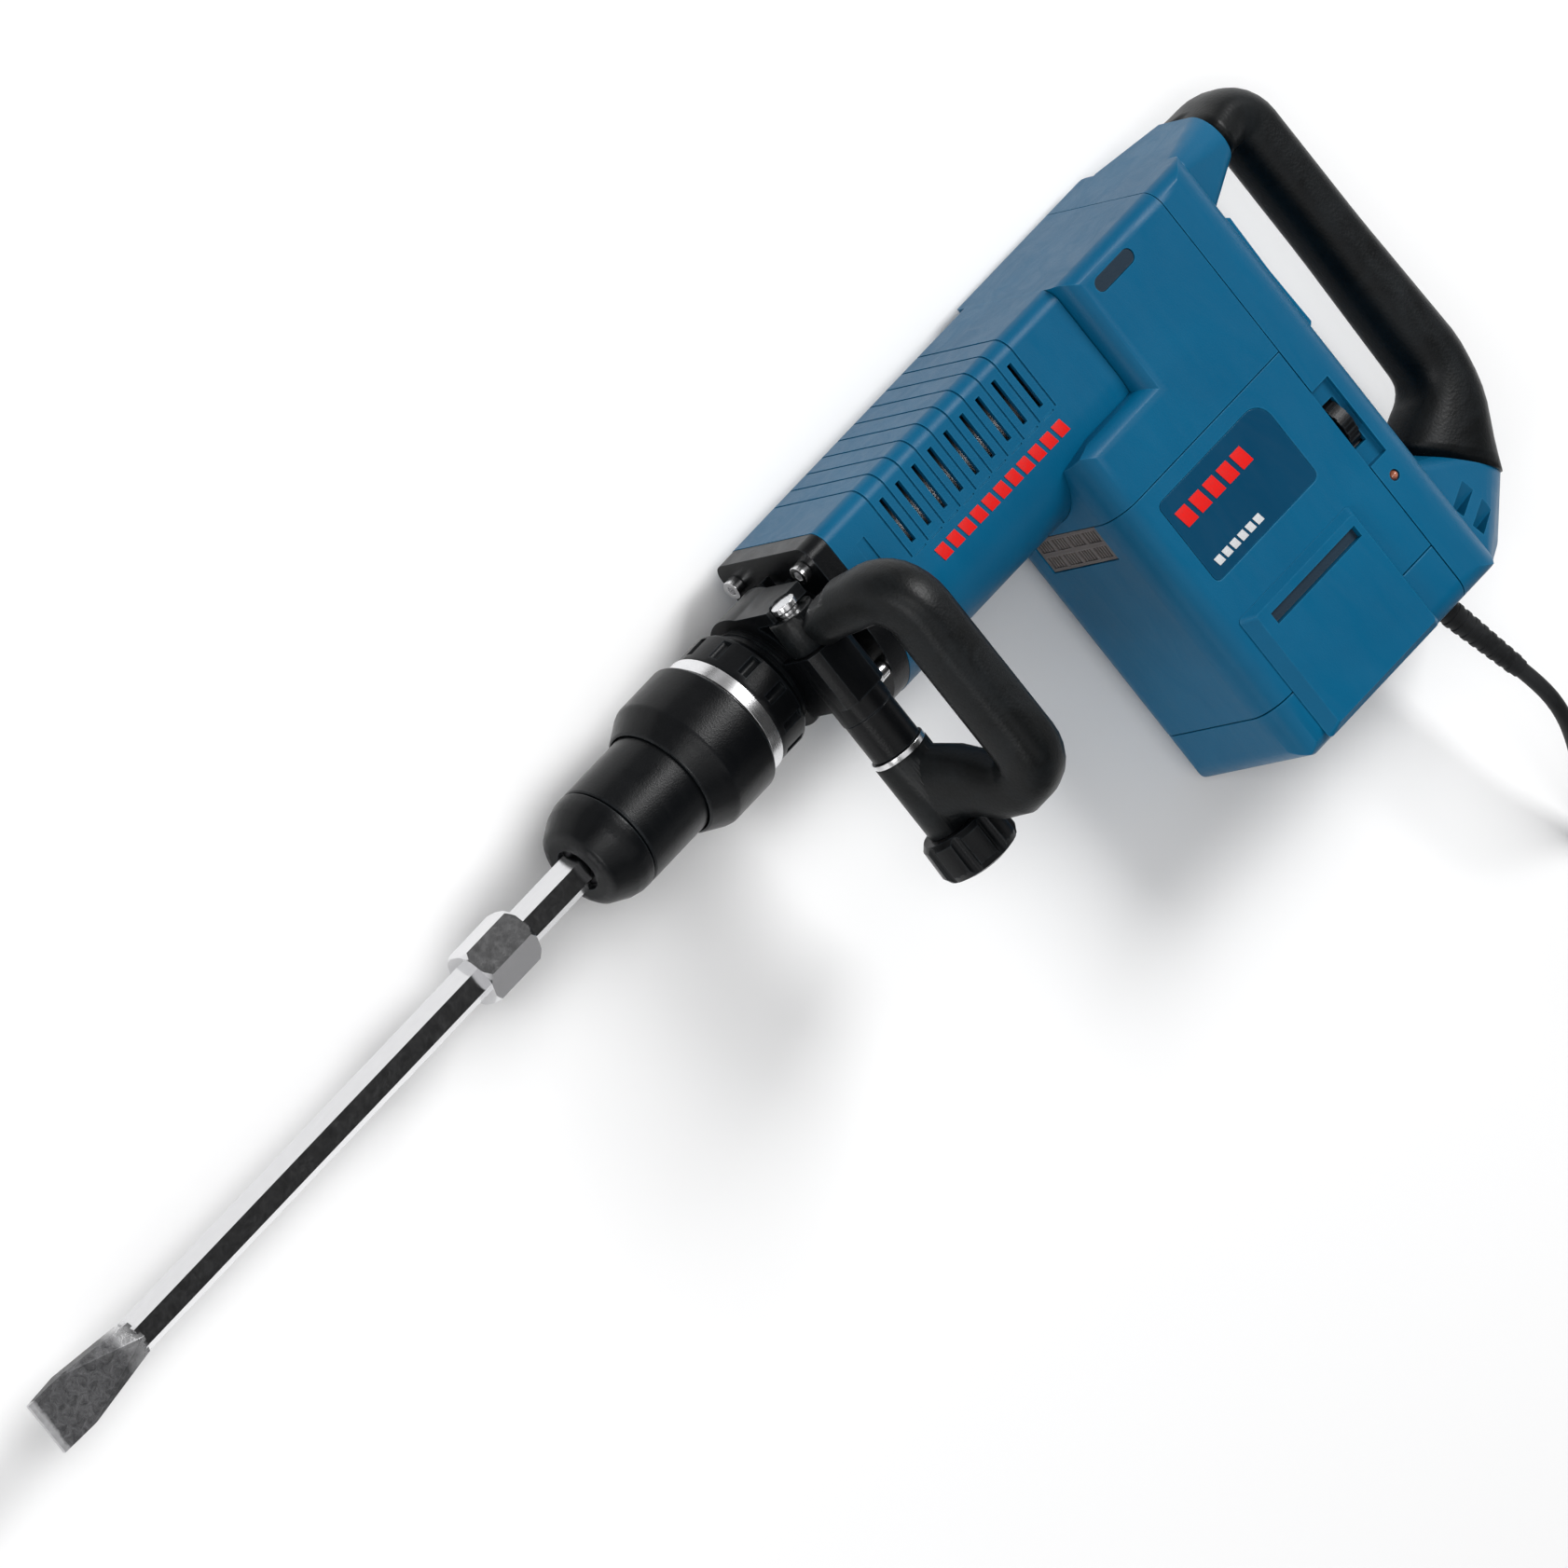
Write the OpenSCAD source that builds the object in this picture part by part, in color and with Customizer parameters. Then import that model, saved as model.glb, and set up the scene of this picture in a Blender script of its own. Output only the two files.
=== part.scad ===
// Electric demolition hammer with a flat chisel, a rear D-grip and a swivelling side handle.
// It lies on its right side. x runs along the tool axis towards the chisel, y runs from the
// barrel's top towards the motor's bottom, and z is up, away from the surface it lies on.
// All modules draw in tool coordinates, whose origin is the centre of the chuck's nose;
// place() moves them so that the origin is under the middle of the object.

/* [Casing] */
// Half the casing's width, without the side covers
case_hw = 58; // [56:0.5:62]
// How far a side cover stands out of the casing
cover_t = 5; // [3:0.5:7]
// Wall of the plastic casings
wall = 3; // [2.5:0.5:3.5]
// Half the barrel's width
barrel_hw = 47; // [46:0.5:48]
// From the tool axis to the bottom of the motor cap
cap_bottom = 236; // [230:1:250]
// Open line between two casings
seam = 0.6; // [0.4:0.1:1]
/* [Chisel] */
// Distance across the flats of the chisel's hexagonal bar
hex_af = 19.5; // [19:0.5:22]
// From the chuck's nose to the cutting edge
chisel_reach = 447; // [400:1:500]
// Width of the cutting edge
blade_w = 32; // [25:1:50]
/* [Drive] */
// Crank radius, half the piston's stroke
crank_r = 10; // [8:0.5:10]
// Teeth of the motor pinion
pinion_teeth = 9; // [9:1:10]
// Teeth of the crank gear
gear_teeth = 48; // [44:1:48]
/* [Cable] */
// Diameter of the mains cable
cable_d = 9; // [8:0.5:9]

/* [Hidden] */
$fn = 64;
fine = 0.3;
blue = [0.06, 0.34, 0.5];
black = [0.07, 0.07, 0.08];

// Casing stations along the tool axis, from the nose backwards
flange_x = -199;
barrel_x0 = -411;
barrel_x1 = -212;
case_rear = -489;
motor_front = -350;
motor_top = 65;
cap_top = 200;
case_top = -46.5;
rear_face = -524;
arm_bottom = 242;
// The strain relief leans back out of the housing's lower face and ends at this height
relief_tilt = 14;
relief_len = 68;
relief_end = cap_bottom + relief_len * cos(relief_tilt) + 5.2 * sin(relief_tilt);
// The object spans these in tool coordinates
grip_x = -588;
grip_rn = 17;
mid_x = (grip_x - grip_rn - 2 + chisel_reach) / 2;
mid_y = (-barrel_hw + relief_end) / 2;
rest_h = case_hw + cover_t;
// Drive
gear_module = 1.25;
crank_x = -450;
pinion_r = gear_module * pinion_teeth / 2;
gear_r = gear_module * gear_teeth / 2;
motor_x = crank_x + gear_r + pinion_r;
rod_len = 75;
// Side handle: the axis of its leg, and the direction in which its loop stands out
leg_x = -170;
leg_z = 45;
loop_turn = 20.5;

module place() { translate([-mid_x, -mid_y, rest_h]) children(); }

// ---- helpers ----
module along_x(x0, x1) { translate([x0, 0, 0]) rotate([90, 0, 90]) linear_extrude(x1 - x0) children(); }
module along_y(y0, y1) {
    translate([0, y0, 0]) rotate([-90, 0, 0]) linear_extrude(y1 - y0) mirror([0, 1]) children();
}
module along_z(z0, z1) { translate([0, 0, z0]) linear_extrude(z1 - z0) children(); }
// Plain rod or ring along x, y or z
module rod_x(x0, x1, r) { translate([x0, 0, 0]) rotate([0, 90, 0]) cylinder(r = r, h = x1 - x0); }
module rod_y(y0, y1, r) { translate([0, y0, 0]) rotate([-90, 0, 0]) cylinder(r = r, h = y1 - y0); }
module tube_x(x0, x1, ro, ri) { difference() { rod_x(x0, x1, ro); rod_x(x0 - 1, x1 + 1, ri); } }
module tube_y(y0, y1, ro, ri) { difference() { rod_y(y0, y1, ro); rod_y(y0 - 1, y1 + 1, ri); } }
// Rectangle with its own radius at each corner: low-low, high-low, high-high, low-high
module rbox(a, b, r) {
    q = [[a[0], a[1]], [b[0], a[1]], [b[0], b[1]], [a[0], b[1]]];
    s = [[1, 1], [-1, 1], [-1, -1], [1, -1]];
    difference() {
        translate(a) square([b[0] - a[0], b[1] - a[1]]);
        for (i = [0:3]) if (r[i] > 0) translate(q[i]) scale_corner(s[i], r[i]);
    }
}
module scale_corner(s, r) {
    mirror([s[0] < 0 ? 1 : 0, 0]) mirror([0, s[1] < 0 ? 1 : 0]) difference() {
        translate([-1, -1]) square([r + 1, r + 1]);
        translate([r, r]) circle(r);
    }
}
// Bodies of revolution about the tool axis, from [x, r] points
module turn_x(points) { rotate([0, 90, 0]) rotate_extrude() polygon([for (p = points) [p[1], p[0]]]); }
// Bodies of revolution about an axis along y, from [y, r] points
module turn_y(points) { rotate([-90, 0, 0]) rotate_extrude() polygon([for (p = points) [p[1], p[0]]]); }

function unit(v) = v / norm(v);
function tangent(p, i) = unit(p[min(i + 1, len(p) - 1)] - p[max(i - 1, 0)]);
function soft(v, e) = sign(v) * pow(abs(v), e);
// Closed tube along the points p. rn and rb are its half sizes along cross(b, tangent) and b.
// Its section is an ellipse at e = 1 and grows squarer as e gets smaller.
module sweep(p, rn, rb, b, sides, e = 1) {
    n = len(p);
    rings = [for (i = [0:n - 1]) let(t = tangent(p, i), u = unit(cross(b, t)), w = cross(t, u))
        for (k = [0:sides - 1]) let(c = soft(cos(360 * k / sides), e), s = soft(sin(360 * k / sides), e))
            p[i] + rn[i] * c * u + rb[i] * s * w];
    walls = [for (i = [0:n - 2]) for (k = [0:sides - 1])
        let(a = i * sides + k, c = i * sides + (k + 1) % sides) [a, a + sides, c + sides, c]];
    caps = [[for (k = [0:sides - 1]) k], [for (k = [sides - 1:-1:0]) (n - 1) * sides + k]];
    polyhedron(rings, concat(walls, caps), convexity = 6);
}
function arc(c, r, a0, a1, n) = [for (i = [0:n]) let(a = a0 + (a1 - a0) * i / n) c + r * [cos(a), sin(a)]];

// ---- casing outlines ----
// Barrel cross-section in y and z: flat top, straight sides and a round bottom
module barrel_section(inset) {
    hw = barrel_hw - inset;
    translate([12, 0]) circle(hw);
    rbox([-barrel_hw + inset, -hw], [12, hw], [9 - inset / 2, 0, 0, 9 - inset / 2]);
}
// Plan of the motor block in x and z, square at the rear and round at the front
module motor_plan(inset) {
    r = 18 - inset;
    rbox([case_rear, -case_hw + inset], [motor_front - inset, case_hw - inset], [0, r, r, 0]);
}
module column_plan(inset) {
    r = 13 - inset;
    rbox([case_rear, -case_hw + inset], [barrel_x0 - inset, case_hw - inset], [0, r, r, 0]);
}
module column_solid(inset) {
    intersection() {
        along_x(case_rear, barrel_x0) rbox([case_top + inset, -case_hw + inset], [motor_top, case_hw - inset],
            [10 - inset, 0, 0, 10 - inset]);
        along_y(case_top, motor_top) column_plan(inset);
    }
}
module saddle_solid(inset) {
    intersection() {
        along_x(case_rear, motor_front) rbox([25 + inset, -case_hw + inset], [motor_top, case_hw - inset],
            [11 - inset, 0, 0, 11 - inset]);
        along_y(20, motor_top) motor_plan(inset);
        along_z(-case_hw, case_hw) polygon([[case_rear, 20], [-400, 20 + 1.4 * inset],
            [motor_front, 29 + 1.4 * inset],
            [motor_front, motor_top], [case_rear, motor_top]]);
    }
}

// ---- casings ----
slot_pitch = 13.7;
slot_x0 = -363;
slots = 9;
module barrel_cover() {
    color(blue) place() difference() {
        along_x(barrel_x0 + seam, barrel_x1) barrel_section(0);
        along_x(barrel_x0 - 1, barrel_x1 + 1) barrel_section(wall);
        translate([motor_x, 0, 0]) rod_y(50, 62, 9.5);
        for (i = [0:slots]) rib_groove(slot_x0 + (i - 0.5) * slot_pitch);
        for (i = [0:slots - 1], side = [-1, 1]) {
            translate([slot_x0 + i * slot_pitch, -20, side * barrel_hw])
                cube([3.4, 29, 4 * wall], center = true);
            translate([slot_x0 + i * slot_pitch, 0.5, side * barrel_hw]) cube([9, 1, 1.2], center = true);
        }
        for (side = [-1, 1]) translate([-228, -14, side * barrel_hw]) cube([7, 26, 1.6], center = true);
    }
}
// One shallow groove over the barrel's top and halfway down both sides
module rib_groove(x) {
    difference() {
        translate([x - 0.6, -barrel_hw - 1, -barrel_hw - 1]) cube([1.2, barrel_hw + 1, 2 * barrel_hw + 2]);
        along_x(x - 1, x + 1) barrel_section(0.8);
    }
}
module gear_housing() {
    color(blue) place() difference() {
        union() { column_solid(0); saddle_solid(0); }
        difference() {
            union() { column_solid(wall); translate([-1, 0, 0]) column_solid(wall); saddle_solid(wall); }
            along_x(barrel_x0 - 1, motor_front + 1) barrel_section(-wall);
        }
        along_x(barrel_x0 - wall - 1, motor_front + 1) barrel_section(wall);
        along_x(barrel_x0, motor_front + 1) barrel_section(-0.4);
        translate([motor_x, 0, 0]) rod_y(50, 70, 9.5);
        for (side = [-1, 1]) translate([-442, -31.5, side * case_hw]) pill(31, 9, 3);
    }
}
module recess_inserts() {
    color([0.25, 0.3, 0.34]) place() for (side = [-1, 1]) {
        translate([-442, -31.5, side * (case_hw - 1.05)]) pill(30.6, 8.6, 0.7);
        translate([-421, 163.5, side * (case_hw + 0.7)]) cube([71.6, 6.6, 1], center = true);
    }
}
module pill(l, w, t) {
    along_z(-t / 2, t / 2) {
        square([l - w, w], center = true);
        for (s = [-1, 1]) translate([s * (l - w) / 2, 0]) circle(w / 2);
    }
}
vent_y0 = 62.5;
module motor_housing() {
    color(blue) place() difference() {
        along_y(motor_top + seam, cap_top) motor_plan(0);
        along_y(motor_top, cap_top + 1) motor_plan(wall);
        translate([motor_front - 10, motor_top, -33]) cube([20, 23, 66]);
        translate([-462, 75, case_hw - 0.7]) along_z(0, 2) rbox([0, 0], [88, 54], [12, 4, 4, 4]);
    }
}
module bottom_cap() {
    color(blue) place() difference() {
        cap_solid(0);
        cap_solid(wall);
        for (i = [-3:3]) translate([motor_x + i * 9 - 2, cap_bottom - wall - 1, -30]) cube([4, wall + 2, 60]);
    }
}
module cap_solid(inset) {
    top = cap_top + seam - (inset > 0 ? 1 : 0);
    intersection() {
        along_y(top, cap_bottom - inset) motor_plan(inset);
        along_x(case_rear, motor_front) rbox([top, -case_hw + inset], [cap_bottom - inset, case_hw - inset],
            [0, 12 - inset, 12 - inset, 0]);
        along_z(-case_hw, case_hw) rbox([case_rear, top], [motor_front - inset, cap_bottom - inset],
            [0, 0, 16 - inset, 0]);
    }
}
// A raised plate over the brush gear, with an air slot under its upper rim
module side_cover(side) {
    color(blue) place() mirror([0, 0, side < 0 ? 1 : 0]) translate([0, 0, case_hw + 0.1]) difference() {
        hull() {
            along_z(0, 0.5) rbox([-464, 151], [-369, 233], [3, 3, 3, 3]);
            along_z(cover_t - 0.6, cover_t - 0.1) rbox([-461, 155], [-377, 229], [2, 2, 2, 2]);
        }
        translate([-457, 160, -1]) cube([72, 7, cover_t + 2]);
    }
}
module side_cover_left() { side_cover(1); }
module side_cover_right() { side_cover(-1); }
module rear_block(inset) {
    x1 = case_rear - seam + (inset > 0 ? 1 : 0);
    intersection() {
        along_x(rear_face + inset, x1) rbox([case_top + inset, -case_hw + inset],
            [cap_bottom - inset, case_hw - inset], [10 - inset, 12 - inset, 12 - inset, 10 - inset]);
        along_y(case_top + inset, cap_bottom - inset) rbox([rear_face + inset, -case_hw + inset],
            [x1, case_hw - inset], [25 - inset, 0, 0, 25 - inset]);
        along_z(-case_hw, case_hw) rbox([rear_face + inset, case_top + inset], [x1, cap_bottom - inset],
            [6 - inset, 0, 0, 16 - inset]);
    }
}
wheel_x = -495.5;
wheel_y = 120;
module rear_housing() {
    color(blue) place() difference() {
        union() {
            difference() { rear_body(); rear_block(wall); }
            translate([-505, 90, case_hw - 8]) cube([15, 60, 6]);
        }
        // Sloping recess and slot for the speed wheel, and the window of the service lamp
        translate([wheel_x, wheel_y, case_hw + 3]) rotate([0, 6, 0]) cube([15, 52, 16], center = true);
        translate([wheel_x, wheel_y, case_hw - 6]) cube([9.4, 30, 14], center = true);
        translate([-498, 158.7, case_hw - 6]) cylinder(r = 3.2, h = 10);
        // Opening behind the switch paddle
        translate([rear_face - 6, 2.5, -22.5]) cube([14, 79, 45]);
        // Way out for the strain relief
        translate(relief_exit) rotate([0, 0, relief_tilt]) { rod_y(-6.4, 1, 7.6); rod_y(0.9, 40, 8.4); }
        // Two hollows in each flank of the lower arm
        for (side = [-1, 1], k = [0, 1]) translate([-541 + 3 * k, 201 + 16 * k, side * (38 - 2 * k)])
            rotate([0, 0, 13]) rotate([0, side * 22, 0]) pill(36 - 5 * k, 8, 14);
    }
}
module rear_body() {
    rear_block(0);
    hull() {
        for (side = [-1, 1]) {
            translate([rear_face + 8, case_top + 9, side * 36]) rod_x(-6, 6, 9);
            translate([rear_face + 8, -10, side * 28]) rod_x(-2, 2, 9);
            translate([-558, -30.5, side * 15]) rod_x(0, 1, 15.8);
        }
    }
    hull() {
        for (side = [-1, 1]) {
            translate([rear_face + 8, 176, side * 28]) rod_x(-6, 6, 9);
            translate([rear_face + 8, arm_bottom - 13, side * 30]) rod_x(-6, 6, 12);
            translate([-538, arm_bottom - 9, side * 16]) sphere(r = 8, $fn = 24);
        }
        translate([arm_low[0], arm_low[1], 0]) rotate([0, 0, -grip_bend]) rotate([-90, 0, 0])
            translate([0, 0, 0.1]) scale([36, 26, 1]) cylinder(r = 1, h = 1, $fn = 40);
    }
}
grip_bend = 48;
grip_path = concat([[-558, -30.5], [-565, -30.5]], arc([-572, -14.5], 16, -90, -180, 8),
    [for (y = [4:16:132]) [grip_x, y]], arc([grip_x + 45, 140], 45, 180, 180 - grip_bend, 6),
    [for (k = [9, 18, 26]) [grip_x + 45 - 45 * cos(grip_bend) + k * sin(grip_bend),
        140 + 45 * sin(grip_bend) + k * cos(grip_bend)]]);
arm_low = grip_path[len(grip_path) - 1];
function grow(v, a, b) = max(0, min(1, (v - a) / (b - a)));
module rear_grip() {
    p = [for (q = grip_path) [q[0], q[1], 0]];
    n = len(p);
    rn = [for (q = p) q[1] < -5 ? 15.8 + (grip_rn - 15.8) * grow(-q[0], 565, 588)
        : grip_rn + 2 * grow(q[1], 60, 140) + 16.6 * pow(grow(q[1], 150, arm_low[1]), 1.6)];
    rb = [for (q = p) q[1] < -5 ? 31 - 10.5 * grow(-q[0], 558, 588)
        : 20.5 + 1.5 * grow(q[1], 60, 140) + 3.5 * grow(q[1], 150, arm_low[1])];
    color(black) place() sweep(p, rn, rb, [0, 0, 1], 32, 0.8);
}
// The paddle rocks about an axis along z at its middle
paddle_y = 42;
module switch_paddle() {
    color(blue) place() translate([rear_face, paddle_y, 0]) {
        along_z(-22, 22) polygon([[-9, -38.5], [-12, -36], [-11, 0], [-12, 36], [-9, 38.5],
            [3, 37], [3, -37]]);
        translate([5, 0, 0]) cylinder(r = 4, h = 40, center = true);
    }
}
module speed_wheel() {
    color(black) place() translate([wheel_x, wheel_y, case_hw - 18]) {
        rod_x(-4, 4, 17);
        for (a = [0:20:340]) rotate([a, 0, 0]) translate([0, 0, 16.5]) cube([7.6, 2.6, 2.4], center = true);
        rod_x(-10, 5, 3);
    }
}
module service_lamp() {
    color([0.8, 0.25, 0.1]) place() translate([-498, 158.7, case_hw - 3.4]) {
        cylinder(r = 3, h = 2);
        translate([0, 0, 2]) sphere(r = 2.4);
    }
}
module vent_grille() {
    color([0.4, 0.38, 0.38]) place() translate([motor_front - 4, vent_y0 + 3.5, 0]) {
        difference() {
            translate([-2, 0, -32.6]) cube([5.2, 21.6, 65.2]);
            for (k = [0, 1], s = [0:3]) translate([-3, 2 + 10.4 * k, -30.5 + s * 15.6]) cube([9, 7.4, 13.6]);
        }
        for (k = [0, 1], s = [0:3], j = [0:4])
            translate([0.5, 5.7 + 10.4 * k, -28.9 + s * 15.6 + j * 2.6]) cube([4, 7.6, 0.9], center = true);
    }
}
module name_badge() {
    color([0.05, 0.28, 0.42]) place() translate([-461.7, 75.3, case_hw - 0.6]) {
        along_z(0, 0.5) rbox([0, 0], [87.4, 53.4], [12, 4, 4, 4]);
    }
}
// Plain slanted bars in a row along the tool axis, from x0 to x1 and h tall
module bars(x0, x1, n, h, slant, t) {
    w = (x1 - x0) / n;
    along_z(0, t) for (i = [0:n - 1]) translate([x0 + i * w, 0])
        polygon([[0, h / 2], [0.72 * w, h / 2], [0.72 * w + slant, -h / 2], [slant, -h / 2]]);
}
module badge_marks() {
    color([0.8, 0.1, 0.08]) place() translate([0, 90.5, case_hw - 0.08]) bars(-437, -378, 5, 11, 2, 0.35);
}
module model_marks() {
    color([0.75, 0.76, 0.78]) place() translate([0, 120.5, case_hw - 0.08]) bars(-420, -380, 6, 5, 1, 0.35);
}
module barrel_marks() {
    color([0.8, 0.1, 0.08]) place() for (side = [-1, 1])
        translate([0, 10.3, side * (barrel_hw + 0.22) - 0.2]) bars(-368, -258, 11, 8.4, 1.6, 0.4);
}

// ---- hammer nose and tool holder ----
module neck_housing() {
    color(black) place() difference() {
        union() {
            along_x(barrel_x1 + 0.1, flange_x) barrel_section(0.3);
            rod_x(flange_x - 1, -150, 29.5);
            for (x = [-153, -157]) tube_x(x - 1, x + 1, 30.4, 20);
            for (a = [0:30:330]) rotate([a, 0, 0]) translate([-197, -1.2, 28]) cube([6, 2.4, 8]);
        }
        rod_x(-214, -149, 24.85);
        for (p = flange_spots) translate([flange_x, p[0], p[1]]) rod_x(-8, 1, 3.1);
    }
}
flange_spots = [for (y = [-34, 34], z = [-34, 34]) [y, z]];
module flange_screws() {
    color([0.7, 0.7, 0.72]) place() for (p = flange_spots) translate([flange_x, p[0], p[1]]) difference() {
        union() { rod_x(-7, 0.2, 3); rod_x(0.2, 6, 5.6); }
        translate([3, 0, 0]) rotate([0, 90, 0]) cylinder(r = 3, h = 4, $fn = 6);
    }
}
module dust_cap() {
    color(black) place() turn_x([[-25, 22.2], [-25, 32.3], [-19, 32], [-13, 30.4], [-3, 25.2], [-1, 22.6],
        [0, 18.5], [0, 13], [-5, 13], [-5, 22.2]]);
}
module locking_sleeve() {
    color(black) place() turn_x([[-84, 29], [-84, 32.2], [-27, 32.2], [-26, 31.2], [-26, 22.05],
        [-40, 22.05], [-40, 29]]);
}
module lock_collar() {
    color(black) place() turn_x([[-117, 22.1], [-117, 40], [-115, 42], [-86, 42], [-83, 41], [-71, 34.6],
        [-70, 33], [-100, 33], [-100, 22.1]]);
}
module steel_ring() { color("silver") place() tube_x(-126.5, -118.2, 38.4, 30.1); }
module index_ring() {
    color(black) place() difference() {
        turn_x([[-149, 25], [-149, 35.5], [-146, 37.5], [-129, 37.5], [-127, 36.5], [-127, 30], [-117.6, 30],
            [-117.6, 22.1], [-140, 22.1], [-140, 25]]);
        for (a = [0:30:330]) rotate([a, 0, 0]) translate([-138, 0, 38.6]) rotate([0, 90, 0])
            cylinder(r = 3.2, h = 13, center = true);
    }
}
roller_r = 6.9;
roller_c = 14.6;
module roller_pair(x0, x1, r) {
    for (s = [-1, 1]) translate([0, s * roller_c, 0]) rod_x(x0, x1, r);
}
module holder_tube() {
    color([0.35, 0.35, 0.37]) place() difference() {
        union() { rod_x(-141, -6, 22); rod_x(-190, -141, 24.8); }
        rod_x(-93, -1, 9.05);
        rod_x(-191, -93, 15.05);
        roller_pair(-38.3, -27.7, roller_r + 0.15);
    }
}
module locking_rollers() { color("silver") place() roller_pair(-38, -28, roller_r); }
module sleeve_spring() {
    turns = 6;
    steps = 14;
    p = [for (i = [0:turns * steps]) let(a = 360 * i / steps)
        [-97.5 + 55 * i / (turns * steps), 25.6 * cos(a), 25.6 * sin(a)]];
    r = [for (q = p) 1.3];
    color("silver") place() sweep(p, r, r, [1, 0, 0], 6);
}
module chisel() {
    color([0.75, 0.75, 0.77]) place() difference() {
        union() {
            rod_x(-88, 1, 9);
            rotate([90, 0, 0]) hex_bar(0.5, 376, hex_af);
            intersection() {
                hex_bar(51, 89, 31.5);
                turn_x([[50, 0], [50, 15.6], [54, 18.2], [86, 18.2], [90, 15.6], [90, 0]]);
            }
            hull() {
                hex_bar(374, 376, hex_af);
                translate([424, 0, 0]) cube([2, blade_w, 8], center = true);
            }
            hull() {
                translate([424, 0, 0]) cube([2, blade_w, 8], center = true);
                translate([chisel_reach - 0.5, 0, 0]) cube([1, blade_w, 2.4], center = true);
            }
        }
        roller_pair(-62, -25, roller_r + 0.3);
        for (a = [35, 145, 270]) rotate([a, 0, 0]) translate([-90, -2, 6.8]) cube([66, 4, 6]);
    }
}
module hex_bar(x0, x1, af) {
    translate([x0, 0, 0]) rotate([0, 90, 0]) cylinder(r = af / sqrt(3), h = x1 - x0, $fn = 6);
}

// ---- hammer mechanism ----
module beat_piece() {
    color("silver") place() union() { rod_x(-96, -91, 8.9); rod_x(-185, -96, 15); rod_x(-209, -185, 12); }
}
module cylinder_tube() { color([0.5, 0.5, 0.52]) place() tube_x(-400, -214, 28, 23); }
module striker() {
    color([0.6, 0.6, 0.62]) place() difference() {
        union() { rod_x(-300, -245, 22.8); rod_x(-245, -225, 14); }
        tube_x(-292, -288, 24, 20.5);
    }
}
module striker_ring() { color(black) place() tube_x(-291.8, -288.2, 22.9, 20.6); }
piston_front = -330;
module piston() {
    color([0.7, 0.7, 0.72]) place() difference() {
        rod_x(piston_front - 60, piston_front, 22.8);
        rod_x(piston_front - 61, piston_front - 6, 19);
        tube_x(piston_front - 6, piston_front - 2.5, 24, 20.5);
    }
}
module piston_ring() { color(black) place() tube_x(piston_front - 5.8, piston_front - 2.7, 22.9, 20.6); }
// Rod between the crank pin and the piston, lying along the tool axis at the front dead centre
module connecting_rod() {
    x0 = crank_x + crank_r;
    color("silver") place() difference() {
        union() {
            translate([x0, 0, 0]) rod_y(-6, 6, 12.5);
            translate([x0 + rod_len, 0, 0]) rod_y(-5, 5, 7.4);
            translate([x0, -4, -5]) cube([rod_len, 8, 10]);
        }
        translate([x0, 0, 0]) rod_y(-7, 7, 6.6);
        translate([x0 + rod_len, 0, 0]) rod_y(-6, 6, 3.5);
    }
}
// The pin stays inside the hollow piston and doesn't reach the piston's wall
module wrist_pin() {
    color("silver") place() translate([crank_x + crank_r + rod_len, 0, 0]) rod_y(-10, 10, 3.45);
}
module crankshaft() {
    color("silver") place() {
        translate([crank_x + crank_r, 0, 0]) rod_y(-8, 12, 6.5);
        translate([crank_x, 0, 0]) {
            rod_y(11, 21, 20);
            rod_y(21, 62, 8.95);
        }
    }
}
// Spur gear in the x-z plane with straight-sided teeth that are a little thin, for running clearance
module spur(teeth, ri, phase) {
    r = gear_module * teeth / 2;
    tip = r + 0.8 * gear_module;
    root = r - 1.15 * gear_module;
    half = 360 / teeth / 4;
    p = [for (i = [0:teeth - 1]) let(a = phase + 360 * i / teeth)
        for (q = [[root, -1.35 * half], [r, -0.82 * half], [tip, -0.36 * half], [tip, 0.36 * half],
            [r, 0.82 * half], [root, 1.35 * half]]) q[0] * [cos(a + q[1]), sin(a + q[1])]];
    difference() { polygon(p); circle(ri); }
}
module crank_gear() {
    color([0.55, 0.55, 0.57]) place() translate([crank_x, 0, 0]) along_y(39, 50) spur(gear_teeth, 9, 0);
}
module crankcase() {
    color([0.62, 0.63, 0.65]) place() difference() {
        union() {
            translate([-487, -37, -46]) cube([72, 101, 92]);
            rod_x(-416, -398, 40);
        }
        translate([-484.5, -34, -43]) cube([67, 58, 86]);
        translate([-484.5, 36, -43]) cube([67, 16, 86]);
        translate([crank_x, 0, 0]) { rod_y(20, 36.1, 17.05); rod_y(50, 62, 15.05); }
        rod_x(-420, -397, 28.05);
        translate([motor_x, 0, 0]) rod_y(36.5, 65, 9.5);
        along_x(-412, -397) difference() { square(200, center = true); barrel_section(wall + 0.5); }
        translate([-484.5, 37, -43]) cube([71, 14, 86]);
    }
}

// ---- motor ----
module armature() {
    color([0.5, 0.45, 0.4]) place() translate([motor_x, 0, 0]) {
        rod_y(52.5, 226, 6);
        rod_y(95, 155, 27);
        rod_y(170, 194, 17);
        turn_y([[155, 0], [155, 24], [163, 20], [163, 0]]);
        turn_y([[88, 0], [88, 20], [95, 24], [95, 0]]);
    }
}
module motor_pinion() {
    color("silver") place() translate([motor_x, 0, 0]) along_y(38, 52.4)
        spur(pinion_teeth, 2, 180 / pinion_teeth + 180);
}
module cooling_fan() {
    color(black) place() translate([motor_x, 0, 0]) {
        tube_y(76, 78, 42, 6.05);
        tube_y(76, 87, 11, 6.05);
        for (a = [0:30:330]) rotate([0, a, 0]) translate([10, 77, -0.8]) cube([31, 9, 1.6]);
    }
}
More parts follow.
